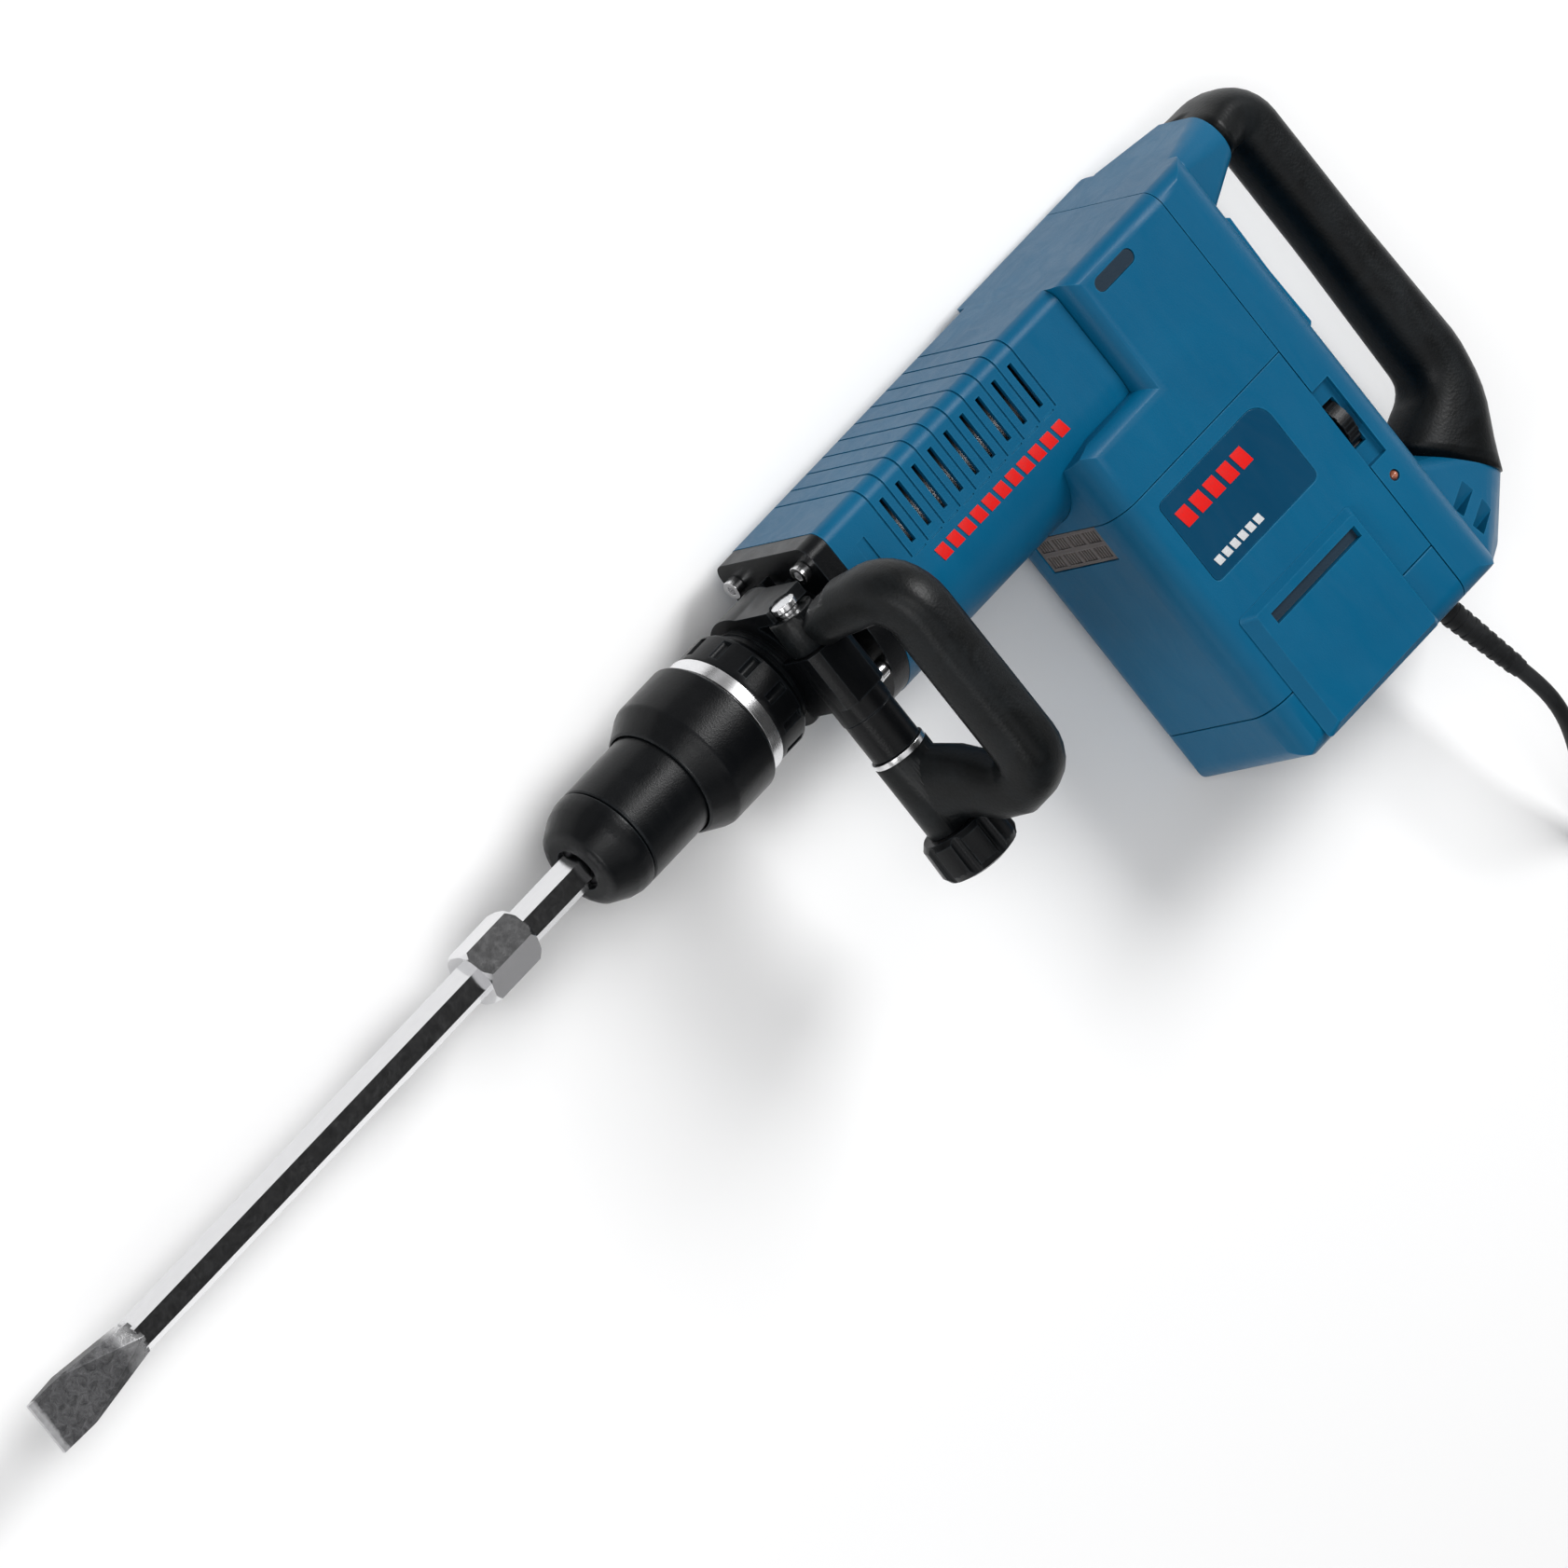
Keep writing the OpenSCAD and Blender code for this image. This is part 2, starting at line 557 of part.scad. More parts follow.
module ball_bearings() {
    color("silver") place() {
        translate([crank_x, 0, 0]) { tube_y(24.2, 35.8, 17, 9); tube_y(52, 61.8, 15, 9); }
        translate([motor_x, 0, 0]) { tube_y(66.5, 74.5, 14, 6.05); tube_y(214, 223, 12, 6.05); }
    }
}
module stator() {
    color([0.45, 0.35, 0.3]) place() translate([motor_x, 0, 0]) difference() {
        rod_y(92, 158, 46);
        rod_y(91, 159, 28.2);
        for (s = [-1, 1]) translate([-60, 91, s * 60 - 20]) cube([120, 68, 40]);
    }
}
module brush_holders() {
    color([0.75, 0.6, 0.25]) place() for (s = [-1, 1]) translate([motor_x, 182, s * 33]) difference() {
        cube([12, 16, 24], center = true);
        cube([8.2, 12.2, 26], center = true);
    }
}
module carbon_brushes() {
    color([0.1, 0.1, 0.1]) place() for (s = [-1, 1]) translate([motor_x, 182, s * 28.3])
        cube([8, 12, 22], center = true);
}
module switch_module() {
    color([0.1, 0.1, 0.12]) place() translate([-512, 12, -14]) {
        cube([18, 62, 28]);
        translate([-2, 8, 6]) cube([2.5, 8, 16]);
        translate([-2, 46, 6]) cube([2.5, 8, 16]);
    }
}
module speed_module() {
    color([0.1, 0.25, 0.12]) place() {
        translate([-518, 98, -30]) cube([24, 62, 8]);
        translate([-506, 112, -22]) cube([14, 18, 12]);
    }
}

// ---- side handle ----
module at_leg() { translate([leg_x, 0, leg_z]) children(); }
module clamp_collar() {
    color(black) place() difference() {
        union() {
            tube_x(-187, -160, 36.5, 29.6);
            translate([-187, -35, 4]) cube([27, 7.6, 38]);
            at_leg() intersection() {
                translate([-15, -5.5, -20]) cube([30, 35, 36]);
                rod_y(-5.5, 31, 18.5);
            }
            translate([-185, -5.5, 20]) cube([30, 35, 16]);
            at_leg() rod_y(-5.5, 40, 15.5);
        }
        rod_x(-195, -140, 29.6);
        rod_x(-159.6, -140, 30.9);
        translate([-190, -6, -42]) cube([34, 4, 16]);
        at_leg() { rod_y(-40, 48, 6); rod_y(-40, -27.3, 7.8); rod_y(-27.5, -5.7, 13.9); }
    }
}
module leg_tube() { color(black) place() at_leg() tube_y(40.2, 66, 15, 6); }
module leg_washer() { color("silver") place() at_leg() tube_y(66.2, 69.6, 16.3, 6); }
module clamp_bolt() {
    color([0.6, 0.6, 0.62]) place() at_leg() { rod_y(-30, 131, 5.95); rod_y(-34, -30, 7.5); }
}
// Centre line of the loop: [distance from the leg, y]. It stands out of the leg turned by loop_turn.
loop_path = concat([[13, -13], [22, -16], [34, -17.5], [46, -17.5]], arc([50, 4], 21.5, -90, 0, 8),
    [for (y = [20:17:88]) [71.5, y]], arc([55, 95], 16.5, 0, 62, 5),
    [[53, 113], [43, 111], [33, 105.5], [23, 99.5], [9, 96]]);
module side_handle() {
    p = [for (q = loop_path) [0, q[1], q[0]]];
    n = len(p);
    low = [17, 17, 17.5, 20, 23];
    rn = [for (i = [0:n - 1]) i < 2 ? 11 + 2 * i : i > n - 6 ? low[i - n + 5]
        : i < 8 ? 15 + 0.4 * (i - 2) : 17.3];
    rb = [for (i = [0:n - 1]) i < 2 ? 14 : i < 8 ? 15 + 0.4 * (i - 2) : i > n - 4 ? 15.5 : 17.3];
    color(black) place() at_leg() difference() {
        union() {
            rotate([0, -loop_turn, 0]) sweep(p, rn, rb, [1, 0, 0], 28, 0.8);
            rod_y(-27, -6, 13.5);
            rod_y(70, 117.5, 16.5);
        }
        rod_y(-40, 130, 6);
        rod_y(-50, -27, 30);
        rod_y(-5.8, 69.9, 19);
        rod_y(117.5, 140, 30);
    }
}
module clamp_knob() {
    color(black) place() at_leg() difference() {
        turn_y([[118, 6], [118, 21], [121, 23.5], [138, 24], [142, 22], [144, 17], [144, 6]]);
        for (a = [0:45:315]) rotate([0, a, 0]) translate([26, 116, 0]) rod_y(0, 30, 4.4);
    }
}

// ---- mains cable ----
relief_exit = [-500.5, cap_bottom, 0];
module strain_relief() {
    color(black) place() translate(relief_exit) rotate([0, 0, relief_tilt]) difference() {
        union() {
            turn_y([[-12, 0], [-12, 9], [-6.6, 9], [-6.6, 7.4], [2, 7.4], [relief_len, 5.2],
                [relief_len, 0]]);
            for (k = [0:9]) rod_y(5 + 6.2 * k, 8 + 6.2 * k, 7.9 - 0.23 * k);
        }
        rod_y(-13, relief_len + 1, cable_d / 2 + 0.15);
    }
}
// Route of the cable from the end of its strain relief to the coil, in tool coordinates
floor_z = -rest_h + cable_d / 2;
function relief_at(d) = relief_exit + d * [-sin(relief_tilt), cos(relief_tilt), 0];
coil_r = 63;
coil_c = [-583, 470];
// It sinks to the floor, and runs straight on to the coil's outer turn
lead_start = relief_at(relief_len);
lead_run = coil_c[1] - lead_start[1];
function lead_x(t) = lead_start[0] * (2 * pow(t, 3) - 3 * t * t + 1)
    - lead_run * tan(relief_tilt) * (pow(t, 3) - 2 * t * t + t) + (coil_c[0] + coil_r) * (3 * t * t - 2 * pow(t, 3));
function lead_z(t) = floor_z * (1 - cos(180 * grow(lead_run * t, 14, 131))) / 2;
function lead_at(t) = [lead_x(t), lead_start[1] + lead_run * t, lead_z(t)];
cable_route = concat([relief_at(relief_len - 24), relief_at(relief_len - 12)], [for (k = [0:22]) lead_at(k / 22)]);
module mains_cable() {
    r = [for (q = cable_route) cable_d / 2];
    color(black) place() sweep(cable_route, r, r, [0, 0.05, 1], 12);
}
coil_cols = 3;
coil_rows = 4;
coil_pitch = 9.3;
module cable_coil() {
    w = (coil_cols - 1) * coil_pitch + cable_d;
    h = (coil_rows - 1) * coil_pitch + cable_d;
    ri = coil_r - cable_d / 2 - (coil_cols - 1) * coil_pitch;
    color(black) place() translate([coil_c[0], coil_c[1], -rest_h]) difference() {
        rotate_extrude() translate([ri, 0]) square([w, h]);
        // Room for the cable's end, which comes in from outside
        translate([coil_r - 17, -70, -1]) cube([40, 70.8, h + 2]);
    }
}
module coil_tie() {
    w = (coil_cols - 1) * coil_pitch + cable_d;
    h = (coil_rows - 1) * coil_pitch + cable_d;
    ri = coil_r - cable_d / 2 - (coil_cols - 1) * coil_pitch;
    color([0.15, 0.15, 0.16]) place() translate([coil_c[0], coil_c[1], -rest_h]) rotate([0, 0, 160])
    difference() {
        translate([ri - 2.2, -6, 0]) cube([w + 3.8, 12, h + 1.6]);
        translate([ri - 0.7, -7, -1]) cube([w + 0.9, 14, h + 1.2]);
    }
}
// The plug lies on the floor inside the bend where the cable comes off the coil
plug_at = [-496, 505, -rest_h];
module plug_body() {
    color(black) place() translate(plug_at) rotate([0, 0, 90]) {
        translate([0, 0, 18]) rod_x(0, 26, 17.5);
        translate([0, 0, 18]) turn_x([[-22, 0], [-22, 6.5], [-4, 10], [0, 15], [0, 0]]);
    }
}
module plug_pins() {
    color("silver") place() translate(plug_at) rotate([0, 0, 90]) for (s = [-1, 1])
        translate([0, s * 9.5, 18]) rod_x(26, 44, 2.4);
}

barrel_cover();
gear_housing();
motor_housing();
bottom_cap();
side_cover_left();
side_cover_right();
rear_housing();
rear_grip();
switch_paddle();
speed_wheel();
service_lamp();
vent_grille();
recess_inserts();
name_badge();
badge_marks();
model_marks();
barrel_marks();
neck_housing();
flange_screws();
dust_cap();
locking_sleeve();
lock_collar();
steel_ring();
index_ring();
holder_tube();
locking_rollers();
sleeve_spring();
chisel();
beat_piece();
cylinder_tube();
striker();
striker_ring();
piston();
piston_ring();
connecting_rod();
wrist_pin();
crankshaft();
crank_gear();
crankcase();
armature();
motor_pinion();
cooling_fan();
ball_bearings();
stator();
brush_holders();
carbon_brushes();
switch_module();
speed_module();
clamp_collar();
clamp_bolt();
leg_tube();
leg_washer();
side_handle();
clamp_knob();
strain_relief();
mains_cable();
cable_coil();
coil_tie();
plug_body();
plug_pins();
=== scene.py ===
import math

import bpy
from mathutils import Matrix, Vector


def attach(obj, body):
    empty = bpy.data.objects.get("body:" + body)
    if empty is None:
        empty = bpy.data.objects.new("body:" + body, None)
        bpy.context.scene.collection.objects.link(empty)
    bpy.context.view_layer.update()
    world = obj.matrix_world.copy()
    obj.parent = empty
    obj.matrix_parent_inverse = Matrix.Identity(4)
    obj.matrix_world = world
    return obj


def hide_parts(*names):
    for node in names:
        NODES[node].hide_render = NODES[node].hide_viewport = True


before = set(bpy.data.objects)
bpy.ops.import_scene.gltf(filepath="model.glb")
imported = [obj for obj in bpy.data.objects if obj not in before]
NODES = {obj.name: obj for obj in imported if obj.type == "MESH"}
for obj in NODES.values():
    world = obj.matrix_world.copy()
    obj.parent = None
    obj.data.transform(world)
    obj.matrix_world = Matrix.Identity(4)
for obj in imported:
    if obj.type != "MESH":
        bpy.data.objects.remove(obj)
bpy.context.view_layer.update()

# The CAD draws in tool coordinates, in millimetres, from the centre of the chuck's nose:
# X towards the chisel, Y towards the motor's bottom and Z towards the tool's left side.
MID_X, MID_Y, REST_H = -80.0, 128.119, 63.0


def row(x, y, z):
    return Vector(((x - MID_X) / 1000, (y - MID_Y) / 1000, (z + REST_H) / 1000))


# ---------------------------------------------------------------- camera
# The photograph has no perspective, so a very long lens looks from far away.
right = Vector((-0.6137, 0.6000, 0.5126))
back = Vector((0.452, -0.265, 0.852)).normalized()
right = (right - back * right.dot(back)).normalized()
up = back.cross(right).normalized()
cam_data = bpy.data.cameras.new("camera")
LENS_MM, SENSOR_MM = 1000, 36
VIEW_WIDTH = 0.8229  # metres across the picture, at the tool
cam_data.lens = LENS_MM
cam_data.sensor_width = SENSOR_MM
cam_data.clip_start = 1
cam_data.clip_end = 200
cam = bpy.data.objects.new("camera", cam_data)
bpy.context.scene.collection.objects.link(cam)
spot = row(-127.9, 49.4, 0) + back * (VIEW_WIDTH * LENS_MM / SENSOR_MM)
cam.matrix_world = Matrix((
    (right.x, up.x, back.x, spot.x),
    (right.y, up.y, back.y, spot.y),
    (right.z, up.z, back.z, spot.z),
    (0, 0, 0, 1),
))
bpy.context.scene.camera = cam


# ---------------------------------------------------------------- small helpers
def shade_smooth(mesh):
    for p in mesh.polygons:
        p.use_smooth = True


def link(obj):
    bpy.context.scene.collection.objects.link(obj)
    return obj


def new_mesh(name, verts, faces):
    mesh = bpy.data.meshes.new(name)
    mesh.from_pydata([tuple(v) for v in verts], [], faces)
    mesh.update()
    shade_smooth(mesh)
    return link(bpy.data.objects.new(name, mesh))


def modifier(obj, kind, **values):
    m = obj.modifiers.new(kind.lower(), kind)
    for key, value in values.items():
        setattr(m, key, value)
    return m


# ---------------------------------------------------------------- cable
CABLE_D = 0.009
COIL_R, COIL_C, PITCH = 63.0, (-583.0, 470.0), 9.3
TILT = math.radians(14)


def relief_at(d):
    """A point on the strain relief's axis, d from the housing's lower face."""
    return (-500.5 - d * math.sin(TILT), 236 + d * math.cos(TILT), 0.0)


def ease(t):
    """0 to 1 along half a cosine wave."""
    t = min(max(t, 0.0), 1.0)
    return 0.5 - 0.5 * math.cos(math.pi * t)


def spline(points, steps):
    """Catmull-Rom curve through the points."""
    out = []
    n = len(points)
    for i in range(n - 1):
        a, b, c, d = points[max(i - 1, 0)], points[i], points[i + 1], points[min(i + 2, n - 1)]
        for k in range(steps):
            t = k / steps
            out.append(tuple(
                0.5 * (2 * b[j] + (c[j] - a[j]) * t
                       + (2 * a[j] - 5 * b[j] + 4 * c[j] - d[j]) * t * t
                       + (3 * b[j] - 3 * c[j] + d[j] - a[j]) * t ** 3)
                for j in range(3)))
    out.append(tuple(points[-1]))
    return out


# The cable's middle where it lies on the floor, in tool millimetres
FLOOR = -REST_H + CABLE_D * 500
RELIEF_LEN = 68.0
SINK_AFTER, SINK_OVER = 14, 117
x0, y0, _ = relief_at(RELIEF_LEN)
x1, y1 = COIL_C[0] + COIL_R, COIL_C[1]


def lead_at(y):
    """From the strain relief the cable sinks to the floor, and runs on to the coil's outer turn."""
    t = (y - y0) / (y1 - y0)
    x = (x0 * (2 * t ** 3 - 3 * t ** 2 + 1) - (y1 - y0) * math.tan(TILT) * (t ** 3 - 2 * t ** 2 + t)
         + x1 * (3 * t ** 2 - 2 * t ** 3))
    return (x, y, FLOOR * ease((y - y0 - SINK_AFTER) / SINK_OVER))


lead_in = [relief_at(RELIEF_LEN - 5)] + [lead_at(y0 + (y1 - y0) * k / 32) for k in range(33)]

# Where the turns step sideways (T) and up (R), in degrees round the coil. A layer's step up lies between
# the sideways steps of its two layers, so no turn runs into another.
STEPS = {"T1": (0, 80), "R2": (84, 136), "T2": (140, 220), "R1": (224, 299)}
STEPS.update(T3=STEPS["T1"], T4=STEPS["T2"], R3=STEPS["R1"])
ENTRY = 84
POINT_EVERY = 7.5  # degrees


def coil():
    """Twelve turns, three wide and four high."""
    points = []
    col, layer, phi = 0, 0, ENTRY
    for name in "T1 T1 R1 T2 T2 R2 T3 T3 R3 T4 T4".split():
        start, stop = STEPS[name]
        while start < phi:
            start, stop = start + 360, stop + 360
        while phi < start:
            points.append((phi, col, layer))
            phi = min(phi + POINT_EVERY, start)
        going = {"T1": 1, "T2": -1, "T3": 1, "T4": -1}.get(name, 0)
        for k in range(10):
            t = ease(k / 10)
            points.append((start + (stop - start) * k / 10, col + going * t, layer + (0 if going else t)))
        phi = stop
        col, layer = col + going, layer + (0 if going else 1)
    last = phi + (ENTRY - 62 - phi) % 360
    while phi < last:
        points.append((phi, col, layer))
        phi = min(phi + POINT_EVERY, last)
    points.append((last, col, layer))
    out = []
    for angle, c, l in points:
        g = math.radians(angle - ENTRY)
        r = COIL_R - PITCH * c
        out.append((COIL_C[0] + r * math.cos(g), COIL_C[1] + r * math.sin(g), FLOOR + PITCH * l))
    return out


turns = coil()
PLUG = (-496.0, 505.0)
tail = spline([
    turns[-3], turns[-2], turns[-1],
    (-523.0, 435.0, -31.5), (-508.0, 449.0, -35.5), (-499.5, 465.0, -42.0),
    (PLUG[0], PLUG[1] - 20, -45.0), (PLUG[0], PLUG[1] - 14, -45.0),
], 5)[10:]
route = lead_in[:-1] + turns + tail[1:]


def resample(points, step):
    """The same line with points about step apart, so that its length is even."""
    out = [points[0]]
    left = step
    for a, b in zip(points, points[1:]):
        a, b = Vector(a), Vector(b)
        length = (b - a).length
        if length < 1e-9:
            continue
        done = 0.0
        while length - done >= left:
            done += left
            out.append(tuple(a + (b - a) * (done / length)))
            left = step
        left -= length - done
    if (Vector(out[-1]) - Vector(points[-1])).length > 0.4 * step:
        out.append(tuple(points[-1]))
    return out


even = resample(route, 6.0)
sides = 14
path = [row(*place) for place in even]
rings, side_way = [], Vector((1, 0, 0))
for i, p in enumerate(path):
    along = (path[min(i + 1, len(path) - 1)] - path[max(i - 1, 0)]).normalized()
    side_way = (side_way - along * side_way.dot(along)).normalized()
    other = along.cross(side_way)
    rings += [p + (side_way * math.cos(a) + other * math.sin(a)) * (CABLE_D / 2)
              for a in (math.tau * k / sides for k in range(sides))]
quads = [(i * sides + k, i * sides + (k + 1) % sides,
          (i + 1) * sides + (k + 1) % sides, (i + 1) * sides + k)
         for i in range(len(path) - 1) for k in range(sides)]
ends = [tuple(range(sides))[::-1], tuple((len(path) - 1) * sides + k for k in range(sides))]
lead = new_mesh("mains_lead", rings, quads + ends)
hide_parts("mains_cable", "cable_coil")
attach(lead, "casing")


# ---------------------------------------------------------------- materials
class Tree:
    """A material's node tree, built with short calls."""

    def __init__(self, name):
        self.mat = bpy.data.materials.new(name)
        self.mat.use_nodes = True
        self.t = self.mat.node_tree
        self.t.nodes.clear()
        self.out = self.t.nodes.new("ShaderNodeOutputMaterial")
        self.bsdf = self.t.nodes.new("ShaderNodeBsdfPrincipled")
        self.t.links.new(self.bsdf.outputs[0], self.out.inputs[0])
        self.pos = self.t.nodes.new("ShaderNodeTexCoord").outputs["Object"]

    def node(self, kind, inputs=None, **props):
        n = self.t.nodes.new("ShaderNode" + kind)
        for key, value in props.items():
            setattr(n, key, value)
        for key, value in (inputs or {}).items():
            self.put(n.inputs[key], value)
        return n

    def put(self, socket, value):
        if isinstance(value, bpy.types.NodeSocket):
            self.t.links.new(value, socket)
        else:
            socket.default_value = value

    def noise(self, scale, detail=3, rough=0.5, stretch=None, distort=0.0):
        where = self.pos
        if stretch:
            where = self.node("Mapping", {"Vector": where, "Scale": stretch}).outputs[0]
        return self.node("TexNoise", {"Vector": where, "Scale": scale, "Detail": detail, "Roughness": rough,
                                      "Distortion": distort}).outputs["Fac"]

    def cells(self, scale, feature="F1", stretch=None):
        where = self.pos
        if stretch:
            where = self.node("Mapping", {"Vector": where, "Scale": stretch}).outputs[0]
        return self.node("TexVoronoi", {"Vector": where, "Scale": scale}, feature=feature).outputs["Distance"]

    def ramp(self, value, lo, hi, a=0.0, b=1.0):
        return self.node("MapRange", {"Value": value, "From Min": lo, "From Max": hi, "To Min": a, "To Max": b},
                         clamp=True).outputs[0]

    def mix(self, fac, a, b):
        n = self.node("Mix", data_type="RGBA")
        self.put(n.inputs[0], fac)
        self.put(n.inputs[6], a if isinstance(a, bpy.types.NodeSocket) else (*a, 1))
        self.put(n.inputs[7], b if isinstance(b, bpy.types.NodeSocket) else (*b, 1))
        return n.outputs[2]

    def math(self, op, a, b=0.0):
        n = self.node("Math", operation=op)
        self.put(n.inputs[0], a)
        self.put(n.inputs[1], b)
        return n.outputs[0]

    def axis(self, i):
        return self.node("SeparateXYZ", {"Vector": self.pos}).outputs[i]

    def edges(self, width=0.0012, lo=0.03, hi=0.3):
        """1 along sharp edges: where the rounded normal leans away from the surface's own."""
        round_n = self.node("Bevel", {"Radius": width}, samples=4).outputs[0]
        flat_n = self.node("NewGeometry").outputs["Normal"]
        gap = self.node("VectorMath", {0: round_n, 1: flat_n}, operation="DISTANCE").outputs["Value"]
        return self.ramp(gap, lo, hi)

    def bump(self, heights):
        normal = None
        for height, strength, distance in heights:
            n = self.node("Bump", {"Height": height, "Strength": strength, "Distance": distance})
            if normal is not None:
                self.put(n.inputs["Normal"], normal)
            normal = n.outputs[0]
        self.put(self.bsdf.inputs["Normal"], normal)

    def set(self, **values):
        names = {"color": "Base Color", "rough": "Roughness", "metal": "Metallic", "coat": "Coat Weight",
                 "coat_rough": "Coat Roughness", "spec": "Specular IOR Level"}
        for key, value in values.items():
            if isinstance(value, tuple) and len(value) == 3:
                value = (*value, 1)
            self.put(self.bsdf.inputs[names[key]], value)
        return self


def srgb(r, g, b):
    def one(v):
        v /= 255
        return v / 12.92 if v <= 0.04045 else ((v + 0.055) / 1.055) ** 2.4
    return (one(r), one(g), one(b))


def moulded(name, color, dark, light, rough, grain=1.0, coat=0.0):
    """Spark-eroded moulded plastic: fine grain, faint flow marks, edges lightened partly as rubbed wear and partly as
    a painted highlight, light handling marks.
    """
    m = Tree(name)
    flow = m.noise(9, 4, 0.55, distort=0.6)
    fine = m.noise(1500, 2, 0.6)
    cell = m.cells(900)
    rub_and_highlight = m.noise(160, 5, 0.7)
    base = m.mix(m.ramp(flow, 0.3, 0.7), dark, color)
    # Patchy lighter colour along sharp edges: partly rubbed wear, partly a painted edge highlight
    base = m.mix(m.math("MULTIPLY", m.edges(), m.ramp(rub_and_highlight, 0.35, 0.7, 0.05, 0.45)), base, light)
    scuff = m.noise(45, 6, 0.75, stretch=(1.0, 0.25, 1.0), distort=1.5)
    m.set(color=base, coat=coat, coat_rough=0.25, spec=0.2)
    m.set(rough=m.math("ADD", m.ramp(scuff, 0.35, 0.75, rough - 0.05, rough + 0.08), m.ramp(fine, 0, 1, -0.02, 0.03)))
    m.bump([(cell, 0.10 * grain, 0.0003), (fine, 0.16 * grain, 0.00025), (flow, 0.05, 0.002)])
    return m.mat


def rubbery(name, color, light, rough, pitch=700, depth=0.0004):
    """Soft-touch rubber: small leathery cells, dust in the hollows, shinier where it is held."""
    m = Tree(name)
    cell = m.cells(pitch, "SMOOTH_F1")
    fine = m.noise(2200, 2, 0.5)
    dust = m.noise(28, 6, 0.7, distort=0.8)
    base = m.mix(m.ramp(dust, 0.42, 0.78, 0.0, 0.65), color, light)
    m.set(color=base, rough=m.ramp(dust, 0.3, 0.7, rough - 0.07, rough + 0.07), spec=0.2)
    m.bump([(cell, 0.22, depth), (fine, 0.1, 0.0002)])
    return m.mat


def steel(name, color, rough, brush=(1, 60, 60), grain=0.05):
    """Ground or turned steel: fine lines along one direction, faint smears and small nicks."""
    m = Tree(name)
    lines = m.noise(90, 4, 0.7, stretch=brush)
    smear = m.noise(30, 5, 0.6, distort=1.0)
    nick = m.ramp(m.cells(260), 0.0, 0.07, 1.0, 0.0)
    base = m.mix(m.ramp(smear, 0.35, 0.75), color, tuple(c * 0.8 for c in color))
    m.set(color=base, metal=1.0)
    m.set(rough=m.math("ADD", m.ramp(smear, 0.3, 0.8, rough, rough + 0.1), m.ramp(lines, 0.3, 0.7, 0.0, 0.06)))
    m.bump([(lines, grain, 0.0004), (nick, 0.03, 0.0003)])
    return m.mat


def chisel_steel():
    """Polished hexagonal bar that turns into a dark forged blade with a ground edge."""
    m = Tree("chisel_steel")
    x = m.axis(0)
    wander = m.noise(70, 5, 0.7)
    at = m.math("ADD", x, m.ramp(wander, 0.2, 0.8, -0.006, 0.006))
    forged = m.ramp(at, 0.453, 0.471)
    ground = m.ramp(m.math("ADD", x, m.ramp(wander, 0.3, 0.7, -0.001, 0.001)), 0.5225, 0.5245)
    scale_marks = m.noise(240, 8, 0.75, distort=0.7)
    lines = m.noise(120, 3, 0.7, stretch=(1, 50, 50))
    dark = m.mix(m.ramp(scale_marks, 0.35, 0.7), (0.045, 0.045, 0.047), (0.16, 0.16, 0.165))
    bar = m.mix(m.ramp(lines, 0.3, 0.7), (0.78, 0.78, 0.79), (0.66, 0.66, 0.67))
    base = m.mix(forged, bar, dark)
    base = m.mix(ground, base, (0.5, 0.5, 0.51))
    m.set(color=base, metal=m.ramp(forged, 0, 1, 1.0, 0.75))
    rough = m.math("ADD", m.ramp(forged, 0, 1, 0.13, 0.42), m.ramp(scale_marks, 0.3, 0.7, 0.0, 0.08))
    m.set(rough=m.math("SUBTRACT", rough, m.ramp(ground, 0, 1, 0.0, 0.15)))
    m.bump([(lines, 0.03, 0.0004), (m.math("MULTIPLY", scale_marks, forged), 0.35, 0.0012)])
    return m.mat


def printed(name, color):
    """Screen-printed ink with pinholes and slightly uneven cover."""
    m = Tree(name)
    ink = m.noise(420, 5, 0.7)
    base = m.mix(m.ramp(ink, 0.3, 0.75), color, tuple(c * 0.78 for c in color))
    m.set(color=base, rough=m.ramp(ink, 0.3, 0.7, 0.3, 0.42), coat=0.3, coat_rough=0.2)
    m.bump([(ink, 0.12, 0.0002)])
    return m.mat


def cast(name, color, metal=1.0, rough=0.5):
    m = Tree(name)
    pit = m.noise(500, 6, 0.75)
    base = m.mix(m.ramp(pit, 0.3, 0.7), tuple(c * 0.7 for c in color), color)
    m.set(color=base, metal=metal, rough=m.ramp(pit, 0.3, 0.7, rough - 0.08, rough + 0.1))
    m.bump([(pit, 0.35, 0.0005)])
    return m.mat


BLUE = moulded("blue_moulding", srgb(0, 88, 124), srgb(0, 81, 116), srgb(38, 120, 156), 0.40)
BLUE_SWITCH = moulded("blue_switch", srgb(4, 95, 132), srgb(2, 87, 123), srgb(50, 130, 165), 0.34, 0.5)
BADGE = moulded("badge_blue", srgb(0, 62, 92), srgb(0, 57, 86), srgb(14, 86, 118), 0.34, 0.4, 0.15)
BLACK = moulded("black_moulding", srgb(10, 12, 14), srgb(5, 6, 8), srgb(58, 66, 71), 0.34, 1.3)
DARK = moulded("recess_grey", srgb(30, 48, 62), srgb(24, 40, 53), srgb(70, 86, 98), 0.5, 1.2)
GREY = moulded("grille_grey", srgb(104, 98, 96), srgb(86, 80, 79), srgb(160, 154, 150), 0.5, 1.2)
GRIP = rubbery("grip_rubber", srgb(8, 10, 11), srgb(26, 31, 34), 0.42)
CABLE = rubbery("cable_rubber", srgb(22, 23, 24), srgb(48, 50, 52), 0.5, 1400, 0.0002)
SEAL = rubbery("seal_rubber", srgb(18, 19, 20), srgb(40, 42, 44), 0.5, 1000, 0.0002)
BRIGHT = steel("bright_steel", (0.83, 0.83, 0.84), 0.16)
RING = steel("turned_ring", (0.82, 0.82, 0.83), 0.2, (60, 1, 1), 0.04)
HARD = steel("hardened_steel", (0.45, 0.45, 0.47), 0.3)
CHISEL = chisel_steel()
